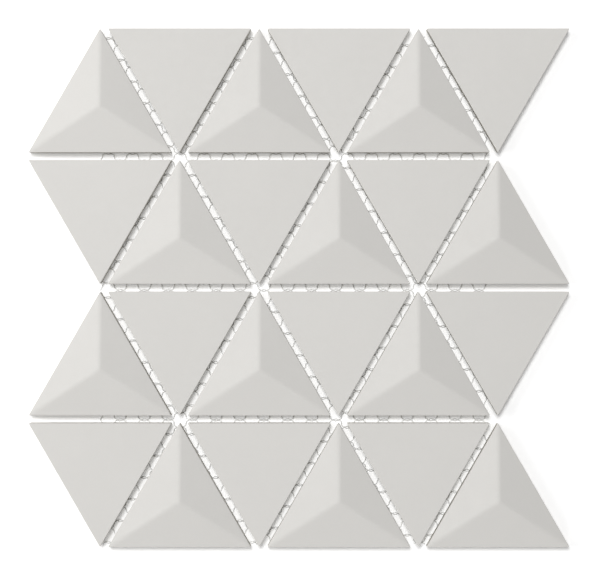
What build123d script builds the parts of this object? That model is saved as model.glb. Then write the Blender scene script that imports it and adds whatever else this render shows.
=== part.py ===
from build123d import *
import math
import os

os.makedirs("parts", exist_ok=True)

# Tile sizes, in millimetres
side = 70.0               # edge length of a triangular tile
side_joint = 3.4          # clear gap between neighbouring tiles of a row
row_joint = 3.7           # clear gap between rows
edge_thickness = 6.0      # thickness of a flat tile, and of a pyramid tile at its rim
relief = 4.5              # rise of a pyramid from its rim to its sharp apex
apex_share = 0.373        # apex distance from the base edge, as a share of the tile height
ridge_radius = 5.5        # softening of the ridges of a pyramid
corner_radius = 0.3       # rounding of the upright corners
arris = 0.2               # bevel round the face

# Layout of the sheet
rows = 4
tiles_per_row = 6

# Backing net sizes, in millimetres
net_thickness = 0.6
slant_width = 0.8         # width of the slanted strands
cross_width = 1.4         # width of the strands across, each a pair of threads
column_spacing = 5.88     # between neighbouring columns of openings
opening_pitch = 7.03      # between openings in one column
net_shift_x = 0.3         # middle opening from the middle of the sheet
net_shift_y = -1.2
net_inset_left = 34.0     # least distance of the net from each side of the sheet
net_inset_right = 38.0
net_inset_end = 2.0
columns_per_strip = 4

# Sizes that follow from the ones above
tile_height = side * math.sqrt(3) / 2
place_pitch = side / 2 + side_joint / math.cos(math.radians(30))
row_pitch = tile_height + row_joint
half_width = ((tiles_per_row - 1) * place_pitch + side) / 2
half_height = ((rows - 1) * row_pitch + tile_height) / 2
half_cell = 2 * column_spacing / 3
first_column = math.ceil((net_inset_left - half_width - net_shift_x + half_cell) / column_spacing)
last_column = math.floor((half_width - net_inset_right - net_shift_x - half_cell) / column_spacing)
half_column = math.floor((half_height - net_inset_end - abs(net_shift_y)) / opening_pitch - 0.5)


def tile_corners():
    """Corners of an upright triangle about the middle of its own box."""
    return [(-side / 2, -tile_height / 2), (side / 2, -tile_height / 2), (0, tile_height / 2)]


def tile_prism(height):
    """Upright prism on the rounded outline of a tile."""
    outline = Polygon(*tile_corners(), align=None)
    outline = fillet(outline.vertices(), corner_radius)
    return extrude(outline, amount=height)


def flat_tile():
    """Flat tile with a bevelled arris."""
    prism = tile_prism(edge_thickness)
    return chamfer(prism.faces().sort_by(Axis.Z)[-1].edges(), arris)


def pyramid_tile():
    """Tile whose face rises in three facets to an apex off the middle."""
    apex_height = edge_thickness + relief
    apex = Vector(0, tile_height * (apex_share - 0.5), apex_height)
    spread = apex_height / relief
    foot = [Vector(apex.X * (1 - spread) + x * spread, apex.Y * (1 - spread) + y * spread, 0)
            for x, y in tile_corners()]
    faces = [Face(Wire.make_polygon(foot))]
    for i in range(3):
        faces.append(Face(Wire.make_polygon([foot[i], foot[(i + 1) % 3], apex])))
    peak = Solid(Shell(faces))
    ridges = peak.edges().filter_by(lambda e: e.bounding_box().max.Z > edge_thickness)
    peak = fillet(ridges, ridge_radius)
    tile = peak & tile_prism(apex_height)
    rim = tile.edges().filter_by(
        lambda e: edge_thickness / 2 < e.bounding_box().min.Z
        and e.bounding_box().max.Z < edge_thickness + arris)
    return chamfer(rim, arris)


def cell_corners(column, row):
    """Lattice corners of the six-sided cell of one opening, anticlockwise."""
    across = 3 * column
    along = 2 * row + column % 2
    steps = [(2, 0), (1, 1), (-1, 1), (-2, 0), (-1, -1), (1, -1)]
    return [(across + dx, along + dy) for dx, dy in steps]


def cells_of(columns):
    """Cells of some columns; an odd column has one opening fewer."""
    return [cell_corners(c, r) for c in columns for r in range(-half_column, half_column + 1 - c % 2)]


def sides_of(cells):
    """Directed sides of the given cells."""
    return {(cell[i], cell[(i + 1) % 6]) for cell in cells for i in range(6)}


def place(corner):
    """Position on the sheet of a lattice corner."""
    return (net_shift_x + corner[0] * column_spacing / 3, net_shift_y + corner[1] * opening_pitch / 2)


def half_strand(start, end):
    """Half the width of the strand along one side of a cell."""
    return (cross_width if start[1] == end[1] else slant_width) / 2


def widened(corners, growth):
    """Wire round an anticlockwise polygon of lattice corners, with side i moved outwards by growth[i]."""
    points = [place(corner) for corner in corners]
    lines = []
    for i, (x0, y0) in enumerate(points):
        x1, y1 = points[(i + 1) % len(points)]
        length = math.hypot(x1 - x0, y1 - y0)
        nx, ny = (y1 - y0) / length, (x0 - x1) / length
        lines.append((nx, ny, nx * x0 + ny * y0 + growth[i]))
    meets = []
    for i, (ax, ay, a) in enumerate(lines):
        bx, by, b = lines[i - 1]
        scale = ax * by - ay * bx
        meets.append(Vector((a * by - b * ay) / scale, (ax * b - bx * a) / scale, 0))
    return Wire.make_polygon(meets)


def net_strip(columns, whole_net):
    """One strip of net: half strands where it meets the next strip, full ones at the border."""
    cells = cells_of(columns)
    sides = sides_of(cells)
    onward = {a: b for a, b in sides if (b, a) not in sides}
    chain = [min(onward)]
    while onward[chain[-1]] != chain[0]:
        chain.append(onward[chain[-1]])
    growth = [0 if (onward[a], a) in whole_net else half_strand(a, onward[a]) for a in chain]
    openings = [widened(cell, [-half_strand(cell[i], cell[(i + 1) % 6]) for i in range(6)]) for cell in cells]
    return extrude(Face(widened(chain, growth), openings), amount=net_thickness, dir=(0, 0, 1))


# Tiles, row by row from the top of the sheet, pyramids and flats by turns
pyramid = pyramid_tile()
flat = flat_tile()
for row in range(rows):
    for i in range(tiles_per_row):
        spot = Pos((i - (tiles_per_row - 1) / 2) * place_pitch, ((rows - 1) / 2 - row) * row_pitch, net_thickness)
        if (row + i) % 2 == 0:
            tile = spot * pyramid
            name = f"pyramid_tile_{row + 1}_{i + 1}"
        else:
            tile = spot * Rot(0, 0, 180) * flat
            name = f"flat_tile_{row + 1}_{i + 1}"
        export_step(tile, f"parts/{name}.step")

# Backing net, in strips side by side from left to right
whole_net = sides_of(cells_of(range(first_column, last_column + 1)))
for n, start in enumerate(range(first_column, last_column + 1, columns_per_strip)):
    columns = range(start, min(start + columns_per_strip, last_column + 1))
    export_step(net_strip(columns, whole_net), f"parts/backing_net_{n + 1}.step", write_pcurves=False)
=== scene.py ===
"""Studio view of a sheet of pyramid and flat triangular tiles on a backing net."""
import math
import bpy
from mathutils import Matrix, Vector
from mathutils.noise import noise_vector, seed_set


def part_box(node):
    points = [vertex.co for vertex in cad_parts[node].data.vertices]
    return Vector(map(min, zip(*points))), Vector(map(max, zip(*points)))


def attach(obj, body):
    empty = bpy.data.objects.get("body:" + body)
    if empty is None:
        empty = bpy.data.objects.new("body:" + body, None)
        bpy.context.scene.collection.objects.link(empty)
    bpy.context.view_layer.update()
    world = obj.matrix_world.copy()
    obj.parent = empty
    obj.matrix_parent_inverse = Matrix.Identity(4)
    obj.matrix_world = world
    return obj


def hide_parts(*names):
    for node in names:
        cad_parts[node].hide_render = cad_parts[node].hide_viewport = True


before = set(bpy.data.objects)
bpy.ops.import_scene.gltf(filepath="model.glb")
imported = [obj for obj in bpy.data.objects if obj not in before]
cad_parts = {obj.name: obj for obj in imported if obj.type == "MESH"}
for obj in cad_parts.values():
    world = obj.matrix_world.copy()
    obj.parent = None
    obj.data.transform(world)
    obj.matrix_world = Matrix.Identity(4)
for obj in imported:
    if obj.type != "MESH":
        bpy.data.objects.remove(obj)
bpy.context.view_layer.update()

# Photograph and camera, lengths in metres
IMAGE_WIDTH_PX = 600
IMAGE_HEIGHT_PX = 579
TILE_SIDE = 0.070
TILE_SIDE_PX = 143.25
SHEET_MIDDLE_PX = (299.0, 287.8)
CAMERA_ABOVE_FACES = 1.0
CAMERA_CLIP_START = 0.01
SENSOR_WIDTH_MM = 36.0

# Heights, read from the imported parts
NET_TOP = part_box("backing_net_1")[1].z
FACE_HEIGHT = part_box("flat_tile_1_2")[1].z

# Backing net, in metres: threads run singly on the slanted strands and twist in pairs on the strands across
COLUMN_SPACING = 0.00588
OPENING_PITCH = 0.00708
NET_SHIFT = Vector((0.0003, -0.0012))
FIRST_COLUMN = -16
LAST_COLUMN = 15
HALF_COLUMN = 17
COLUMNS_PER_STRIP = 4
SINGLE_WIDTH = 0.00052
PAIR_WIDTH = 0.00044
PAIR_SPREAD = 0.00048         # from the middle of a pair to each of its threads, side by side
PAIR_LIFT = 0.00015           # rise of a thread where it crosses over the other
PAIR_OVERRUN = 0.00074        # length that a pair runs on past its knots
CORNER_LIFT = 0.00030         # spread added where the threads of a pair turn off
CORNER_SHARPNESS = 12
THREAD_HEIGHT = 0.00030
THREAD_SIDES = 6
PAIR_STEPS = 10               # mesh steps along a pair

# Unevenness of the net: how far it wanders, in metres, and how fast that changes
NET_SEED = 1
KNOT_DRIFT = 0.00015
KNOT_DRIFT_STEP = 0.71        # for each lattice step
KNOT_DRIFT_LAYER = 0.5
THREAD_DRIFT = 0.00010
THREAD_DRIFT_SCALE = 900      # for each metre

# Colours, linear
GLAZE = (0.639, 0.626, 0.601)
EDGE_GLAZE = (0.72, 0.70, 0.66)
BODY = (0.47, 0.44, 0.37)
NET_WHITE = (0.92, 0.92, 0.91)
NET_DUST = (0.80, 0.79, 0.75)
WHITE = (1, 1, 1, 1)

# Noise textures: scale for each metre, octaves and roughness
CLOUD_NOISE = (45, 3, 0.5)
SPECK_NOISE = (1400, 2, 0.5)
GRAIN_NOISE = (900, 4, 0.65)
DRIP_NOISE = (220, 2, 0.5)
GLOSS_NOISE = (300, 3, 0.5)
SWELL_NOISE = (110, 2, 0.5)
PEEL_NOISE = (1100, 2, 0.5)
FIBRE_NOISE = (3200, 4, 0.6)
DUST_NOISE = (160, 2, 0.5)

# Spans of values that the ramps read
WHOLE_SPAN = (0.0, 1.0)
NOISE_SPAN = (0.3, 0.7)
GRAIN_SPAN = (0.25, 0.75)
DRIP_SPAN = (0.2, 0.8)
DUST_SPAN = (0.4, 0.7)
PLY_SPAN = (0.0, 0.5)
EDGE_FADE_IN = (0.35, 0.6)    # upward part of the normal, from the sides to the bevel
EDGE_FADE_OUT = (0.95, 0.8)   # and from the face to the bevel

# Glaze and body: tones multiply the colour, lengths are in metres
CLOUD_TONE = (0.994, 1.006)
SPECK_TONE = (-0.006, 0.006)  # added to the tone of the clouds
TILE_TONE = (0.992, 1.008)    # from tile to tile
EDGE_SHARE = 0.35             # of the paler glaze on the bevel
BODY_TONE = (0.9, 1.05)
DRIP_REACH = (-0.0006, 0.0006)
GLAZE_BORDER = (NET_TOP + 0.0024, NET_TOP + 0.0040)
GLAZE_ROUGHNESS = (0.58, 0.66)
GLAZE_IOR = 1.5
BARE_ROUGHER = 0.25           # roughness that the bare body adds

# Thread
PLY_PITCH = 0.0011            # along the thread, of the plies that it is twisted from
FIBRE_TONE = 0.93             # darkest fibres
PLY_GROOVE_SHADE = 0.85               # painted shade in the grooves between the plies, as a tone of the white
PLY_GROOVE_SHADE_SHARE = (0.35, 0.0)       # of the painted groove shade, from the groove to the ply
DUST_SHARE = (0.0, 0.2)
THREAD_ROUGHNESS = 0.7

# Bumps: height in metres and strength
SWELL_BUMP = (0.00002, 0.5)
PEEL_BUMP = (0.000012, 0.5)
PIT_BUMP = (0.00006, 0.6)
PLY_BUMP = (0.00006, 0.8)
FIBRE_BUMP = (0.00003, 0.6)

# Lights: direction towards the lamp, distance in metres, size and share of the whole light
KEY_TOWARDS = Vector((-0.113, 0.307, 0.945))
KEY_DISTANCE = 7.0
KEY_SIZE = 2.0
KEY_SHARE = 0.626
SIDE_TOWARDS = Vector((-0.848, 0.200, 0.491))
SIDE_DISTANCE = 1.4
SIDE_SIZE = 1.0
SIDE_SHARE = 0.588
FILL_TOWARDS = Vector((0.0, -0.981, 0.196))
FILL_DISTANCE = 2.0
FILL_SIZE = 0.6
FILL_SHARE = 0.250
AMBIENT_SHARE = 0.110
BACKGROUND_WHITE = 1.0

# Floor
FLOOR_SIZE = 8.0
FLOOR_GAP = 0.00005
FLOOR_GLOW = 0.25             # lift of the paper-white floor, for the rays that see the background
FLOOR_COLOUR = (0.97, 0.97, 0.97, 1)


def new_material(name):
    """Empty node material with its output node."""
    material = bpy.data.materials.new(name)
    material.use_nodes = True
    material.node_tree.nodes.clear()
    output = material.node_tree.nodes.new("ShaderNodeOutputMaterial")
    return material, material.node_tree, output


def add(tree, kind, **settings):
    """New node with its properties and input values set by name."""
    node = tree.nodes.new(kind)
    for key, value in settings.items():
        if key in node.inputs:
            node.inputs[key].default_value = value
        else:
            setattr(node, key, value)
    return node


def part_of(tree, vector, axis):
    """One coordinate of a vector."""
    node = tree.nodes.new("ShaderNodeSeparateXYZ")
    tree.links.new(vector, node.inputs["Vector"])
    return node.outputs[axis]


def speckle(tree, place, noise):
    """Noise texture read in the object's own metres."""
    scale, octaves, roughness = noise
    node = add(tree, "ShaderNodeTexNoise", Scale=scale, Detail=octaves, Roughness=roughness)
    tree.links.new(place, node.inputs["Vector"])
    return node.outputs["Fac"]


def ramp(tree, value, span, result=(0.0, 1.0)):
    """Smooth change from the first result to the second as value goes through the span."""
    node = tree.nodes.new("ShaderNodeMapRange")
    node.interpolation_type = "SMOOTHSTEP"
    node.inputs["From Min"].default_value, node.inputs["From Max"].default_value = span
    node.inputs["To Min"].default_value, node.inputs["To Max"].default_value = result
    tree.links.new(value, node.inputs["Value"])
    return node.outputs["Result"]


def maths(tree, operation, *values):
    """Arithmetic on sockets or numbers."""
    node = tree.nodes.new("ShaderNodeMath")
    node.operation = operation
    for socket, value in zip(node.inputs, values):
        if isinstance(value, (int, float)):
            socket.default_value = value
        else:
            tree.links.new(value, socket)
    return node.outputs["Value"]


def mixed(tree, factor, a, b):
    """Mix of two colours, each a socket or a linear triple."""
    node = tree.nodes.new("ShaderNodeMix")
    node.data_type = "RGBA"
    tree.links.new(factor, node.inputs["Factor"])
    for name, value in (("A", a), ("B", b)):
        socket = [s for s in node.inputs if s.name == name and s.type == "RGBA"][0]
        if isinstance(value, tuple):
            socket.default_value = (*value, 1)
        else:
            tree.links.new(value, socket)
    return [s for s in node.outputs if s.type == "RGBA"][0]


def toned(colour, tone):
    """Linear colour made darker or paler."""
    return tuple(tone * channel for channel in colour)


def bumped(tree, height, bump, below=None):
    """Bump of a height socket, on top of another bump if given."""
    distance, strength = bump
    node = add(tree, "ShaderNodeBump", Strength=strength, Distance=distance)
    tree.links.new(height, node.inputs["Height"])
    if below:
        tree.links.new(below, node.inputs["Normal"])
    return node.outputs["Normal"]


def glaze_colour(tree, place, facing):
    """Glaze with faint clouds and specks, a tone of its own on each tile, paler on the bevel."""
    cloud = ramp(tree, speckle(tree, place, CLOUD_NOISE), NOISE_SPAN, CLOUD_TONE)
    speck = ramp(tree, speckle(tree, place, SPECK_NOISE), NOISE_SPAN, SPECK_TONE)
    piece = ramp(tree, tree.nodes.new("ShaderNodeObjectInfo").outputs["Random"], WHOLE_SPAN, TILE_TONE)
    tone = maths(tree, "MULTIPLY", maths(tree, "ADD", cloud, speck), piece)
    glaze = tree.nodes.new("ShaderNodeCombineColor")
    for socket, value in zip(("Red", "Green", "Blue"), GLAZE):
        tree.links.new(maths(tree, "MULTIPLY", tone, value), glaze.inputs[socket])
    bevel = maths(tree, "MULTIPLY", ramp(tree, facing, EDGE_FADE_IN), ramp(tree, facing, EDGE_FADE_OUT))
    return mixed(tree, maths(tree, "MULTIPLY", bevel, EDGE_SHARE), glaze.outputs["Color"], EDGE_GLAZE)


def tile_material(name):
    """Satin glaze on the face, fading down the sides to the bare fired body."""
    material, tree, output = new_material(name)
    place = tree.nodes.new("ShaderNodeTexCoord").outputs["Object"]
    facing = part_of(tree, tree.nodes.new("ShaderNodeNewGeometry").outputs["Normal"], "Z")

    drip = ramp(tree, speckle(tree, place, DRIP_NOISE), DRIP_SPAN, DRIP_REACH)
    covered = ramp(tree, maths(tree, "ADD", part_of(tree, place, "Z"), drip), GLAZE_BORDER)
    bare = ramp(tree, covered, WHOLE_SPAN, (1.0, 0.0))
    grain = speckle(tree, place, GRAIN_NOISE)
    body = mixed(tree, ramp(tree, grain, GRAIN_SPAN), *(toned(BODY, tone) for tone in BODY_TONE))
    colour = mixed(tree, covered, body, glaze_colour(tree, place, facing))

    gloss = ramp(tree, speckle(tree, place, GLOSS_NOISE), NOISE_SPAN, GLAZE_ROUGHNESS)
    roughness = maths(tree, "ADD", gloss, maths(tree, "MULTIPLY", bare, BARE_ROUGHER))

    swell = bumped(tree, speckle(tree, place, SWELL_NOISE), SWELL_BUMP)
    peel = bumped(tree, speckle(tree, place, PEEL_NOISE), PEEL_BUMP, swell)
    pits = bumped(tree, maths(tree, "MULTIPLY", grain, bare), PIT_BUMP, peel)

    shader = add(tree, "ShaderNodeBsdfPrincipled", IOR=GLAZE_IOR)
    tree.links.new(colour, shader.inputs["Base Color"])
    tree.links.new(roughness, shader.inputs["Roughness"])
    tree.links.new(pits, shader.inputs["Normal"])
    tree.links.new(shader.outputs["BSDF"], output.inputs["Surface"])
    return material


def net_material():
    """White spun thread, matt, with twisted plies, shade painted into the grooves between the plies, and
    loose fibres.
    """
    material, tree, output = new_material("net_thread")
    coordinates = tree.nodes.new("ShaderNodeTexCoord")
    along = part_of(tree, coordinates.outputs["UV"], "X")
    around = part_of(tree, coordinates.outputs["UV"], "Y")
    turns = maths(tree, "ADD", maths(tree, "DIVIDE", along, PLY_PITCH), around)
    plies = maths(tree, "ABSOLUTE", maths(tree, "SINE", maths(tree, "MULTIPLY", turns, math.pi)))
    fibre = speckle(tree, coordinates.outputs["Object"], FIBRE_NOISE)
    dust = speckle(tree, coordinates.outputs["Object"], DUST_NOISE)

    colour = mixed(tree, ramp(tree, fibre, NOISE_SPAN), toned(NET_WHITE, FIBRE_TONE), NET_WHITE)
    # painted shade: the grooves between the twisted plies are darkened in the colour
    colour = mixed(tree, ramp(tree, plies, PLY_SPAN, PLY_GROOVE_SHADE_SHARE), colour, toned(NET_WHITE, PLY_GROOVE_SHADE))
    colour = mixed(tree, ramp(tree, dust, DUST_SPAN, DUST_SHARE), colour, NET_DUST)
    twist = bumped(tree, plies, PLY_BUMP)

    shader = add(tree, "ShaderNodeBsdfPrincipled", Roughness=THREAD_ROUGHNESS)
    tree.links.new(colour, shader.inputs["Base Color"])
    tree.links.new(bumped(tree, fibre, FIBRE_BUMP, twist), shader.inputs["Normal"])
    tree.links.new(shader.outputs["BSDF"], output.inputs["Surface"])
    return material


def cells_of(columns):
    """Openings of some columns as (column, along); an odd column has one opening fewer."""
    return {(c, 2 * r + c % 2) for c in columns for r in range(-HALF_COLUMN, HALF_COLUMN + 1 - c % 2)}


def pairs_of(cells):
    """Strands across, above and below the openings, as (column, along)."""
    return {(column, along + step) for column, along in cells for step in (-1, 1)}


def knot(across, along):
    """Position on the sheet of a lattice corner, a little off the even lattice."""
    even = NET_SHIFT + Vector((across * COLUMN_SPACING / 3, along * OPENING_PITCH / 2))
    spot = Vector((KNOT_DRIFT_STEP * across, KNOT_DRIFT_STEP * along, KNOT_DRIFT_LAYER))
    return even + KNOT_DRIFT * noise_vector(spot).xy


def thread_arm(column, along, hand, up, cells, pairs):
    """Points of a thread from the end of a pair out to the next thread, none where the net is cut."""
    if (column, along + up) not in cells and (column + hand, along) not in cells:
        return []
    near = knot(3 * column + hand, along)
    far = knot(3 * column + 2 * hand, along + up)
    reaches = (0.5,) if (column + hand, along + up) in pairs else (0.5, 1.0)
    return [(near.lerp(far, reach), NET_TOP / 2, SINGLE_WIDTH) for reach in reaches]


def thread_path(column, along, up, cells, pairs):
    """Spot, height and width along one thread of a pair, the upper (1) or the lower (-1) one."""
    left = knot(3 * column - 1, along)
    right = knot(3 * column + 1, along)
    onward = (right - left).normalized()
    sideways = onward.orthogonal()
    left -= PAIR_OVERRUN * onward
    right += PAIR_OVERRUN * onward
    path = thread_arm(column, along, -1, up, cells, pairs)[::-1]
    for k in range(PAIR_STEPS + 1):
        turn = 2 * math.pi * k / PAIR_STEPS
        corner = abs(1 - 2 * k / PAIR_STEPS) ** CORNER_SHARPNESS
        apart = PAIR_SPREAD * math.cos(turn) + CORNER_LIFT * corner
        spot = left.lerp(right, k / PAIR_STEPS) + up * apart * sideways
        drift = noise_vector(Vector((THREAD_DRIFT_SCALE * spot.x, THREAD_DRIFT_SCALE * spot.y, up))).xy
        path.append((spot + THREAD_DRIFT * drift, NET_TOP / 2 + up * PAIR_LIFT * math.sin(turn), PAIR_WIDTH))
    return path + thread_arm(column, along, 1, up, cells, pairs)


class ThreadMesh:
    """Vertices, faces and UVs of closed flattened tubes."""

    def __init__(self):
        self.points = []
        self.faces = []
        self.uvs = []

    def ring(self, spot, z, width, sideways):
        """Points round the thread at one spot."""
        for k in range(THREAD_SIDES):
            turn = 2 * math.pi * k / THREAD_SIDES
            place = spot + math.cos(turn) * width / 2 * sideways
            self.points.append((place.x, place.y, z + math.sin(turn) * THREAD_HEIGHT / 2))

    def tube(self, path):
        """Closed tube along spots with a height and a width each; u runs along it and v around it."""
        first = len(self.points)
        runs = [0.0]
        for i, (spot, z, width) in enumerate(path):
            ahead = path[min(i + 1, len(path) - 1)][0] - path[max(i - 1, 0)][0]
            self.ring(spot, z, width, ahead.orthogonal().normalized())
            if i:
                runs.append(runs[-1] + (spot - path[i - 1][0]).length)
        for i in range(len(path) - 1):
            near = first + i * THREAD_SIDES
            far = near + THREAD_SIDES
            for k in range(THREAD_SIDES):
                j = (k + 1) % THREAD_SIDES
                low, high = k / THREAD_SIDES, (k + 1) / THREAD_SIDES
                self.faces.append((near + k, near + j, far + j, far + k))
                self.uvs += [(runs[i], low), (runs[i], high), (runs[i + 1], high), (runs[i + 1], low)]
        last = first + (len(path) - 1) * THREAD_SIDES
        self.faces.append(tuple(first + k for k in reversed(range(THREAD_SIDES))))
        self.faces.append(tuple(last + k for k in range(THREAD_SIDES)))
        self.uvs += [(runs[0], k / THREAD_SIDES) for k in reversed(range(THREAD_SIDES))]
        self.uvs += [(runs[-1], k / THREAD_SIDES) for k in range(THREAD_SIDES)]

    def make_object(self, name, material):
        """Object of the tubes so far."""
        data = bpy.data.meshes.new(name)
        data.from_pydata(self.points, [], self.faces)
        layer = data.uv_layers.new(name="along_thread")
        layer.data.foreach_set("uv", [value for uv in self.uvs for value in uv])
        data.shade_smooth()
        data.materials.append(material)
        piece = bpy.data.objects.new(name, data)
        bpy.context.scene.collection.objects.link(piece)
        return piece


def make_net():
    """Threads of the backing net, one piece for each strip."""
    seed_set(NET_SEED)
    cells = cells_of(range(FIRST_COLUMN, LAST_COLUMN + 1))
    pairs = pairs_of(cells)
    material = net_material()
    for n, start in enumerate(range(FIRST_COLUMN, LAST_COLUMN + 1, COLUMNS_PER_STRIP)):
        mesh = ThreadMesh()
        for column, along in sorted(pair for pair in pairs if start <= pair[0] < start + COLUMNS_PER_STRIP):
            for up in (-1, 1):
                mesh.tube(thread_path(column, along, up, cells, pairs))
        strip = mesh.make_object(f"net_threads_{n + 1}", material)
        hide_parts(f"backing_net_{n + 1}")
        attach(strip, "root")


def dress_tiles():
    """Glaze on every tile."""
    for kind in ("pyramid_tile", "flat_tile"):
        material = tile_material(kind + "_glaze")
        for name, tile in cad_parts.items():
            if name.startswith(kind):
                tile.material_slots[0].material = material


def white_rays(tree):
    """1 for camera, glossy and transmission rays, else 0."""
    path = tree.nodes.new("ShaderNodeLightPath")
    seen = maths(tree, "MAXIMUM", path.outputs["Is Camera Ray"], path.outputs["Is Glossy Ray"])
    return maths(tree, "MAXIMUM", seen, path.outputs["Is Transmission Ray"])


def choose(tree, plain, seen, output):
    """Surface with one shader for the rays that see the background and another for the rest."""
    choice = tree.nodes.new("ShaderNodeMixShader")
    tree.links.new(white_rays(tree), choice.inputs["Fac"])
    tree.links.new(plain, choice.inputs[1])
    tree.links.new(seen, choice.inputs[2])
    tree.links.new(choice.outputs["Shader"], output.inputs["Surface"])


def make_floor():
    """White paper floor that keeps the shadow of the sheet."""
    half = FLOOR_SIZE / 2
    data = bpy.data.meshes.new("floor")
    corners = [(-half, -half), (half, -half), (half, half), (-half, half)]
    data.from_pydata([(x, y, -FLOOR_GAP) for x, y in corners], [], [(0, 1, 2, 3)])
    floor = bpy.data.objects.new("floor", data)
    bpy.context.scene.collection.objects.link(floor)
    material, tree, output = new_material("paper")
    paper = add(tree, "ShaderNodeBsdfDiffuse", Color=FLOOR_COLOUR)
    glow = add(tree, "ShaderNodeEmission", Strength=FLOOR_GLOW)
    lifted = tree.nodes.new("ShaderNodeAddShader")
    tree.links.new(paper.outputs["BSDF"], lifted.inputs[0])
    tree.links.new(glow.outputs["Emission"], lifted.inputs[1])
    choose(tree, paper.outputs["BSDF"], lifted.outputs["Shader"], output)
    data.materials.append(material)


def make_world():
    """Even ambient light with a white background."""
    world = bpy.data.worlds.new("studio")
    bpy.context.scene.world = world
    world.use_nodes = True
    tree = world.node_tree
    tree.nodes.clear()
    output = tree.nodes.new("ShaderNodeOutputWorld")
    ambient = add(tree, "ShaderNodeBackground", Color=WHITE, Strength=AMBIENT_SHARE)
    white = add(tree, "ShaderNodeBackground", Color=WHITE, Strength=BACKGROUND_WHITE)
    choose(tree, ambient.outputs["Background"], white.outputs["Background"], output)


def make_lamp(name, towards, distance, size, share):
    """Square softbox aimed at the sheet; share 1 lights a face square to it as brightly as its colour."""
    light = bpy.data.lights.new(name, "AREA")
    light.shape = "SQUARE"
    light.size = size
    light.energy = share * math.pi ** 2 * distance ** 2
    lamp = bpy.data.objects.new(name, light)
    lamp.location = towards.normalized() * distance
    lamp.rotation_euler = towards.to_track_quat("Z", "Y").to_euler()
    bpy.context.scene.collection.objects.link(lamp)


def make_camera():
    """Camera straight above, framed as the photograph."""
    metres_per_px = TILE_SIDE / TILE_SIDE_PX
    data = bpy.data.cameras.new("camera")
    data.sensor_width = SENSOR_WIDTH_MM
    data.lens = SENSOR_WIDTH_MM * CAMERA_ABOVE_FACES / (IMAGE_WIDTH_PX * metres_per_px)
    data.clip_start = CAMERA_CLIP_START
    camera = bpy.data.objects.new("camera", data)
    x = (IMAGE_WIDTH_PX / 2 - SHEET_MIDDLE_PX[0]) * metres_per_px
    y = (SHEET_MIDDLE_PX[1] - IMAGE_HEIGHT_PX / 2) * metres_per_px
    camera.location = (x, y, FACE_HEIGHT + CAMERA_ABOVE_FACES)
    bpy.context.scene.collection.objects.link(camera)
    bpy.context.scene.camera = camera


make_net()
dress_tiles()
make_floor()
make_world()
make_lamp("key", KEY_TOWARDS, KEY_DISTANCE, KEY_SIZE, KEY_SHARE)
make_lamp("side", SIDE_TOWARDS, SIDE_DISTANCE, SIDE_SIZE, SIDE_SHARE)
make_lamp("fill", FILL_TOWARDS, FILL_DISTANCE, FILL_SIZE, FILL_SHARE)
make_camera()
bpy.context.scene.view_settings.view_transform = "Standard"
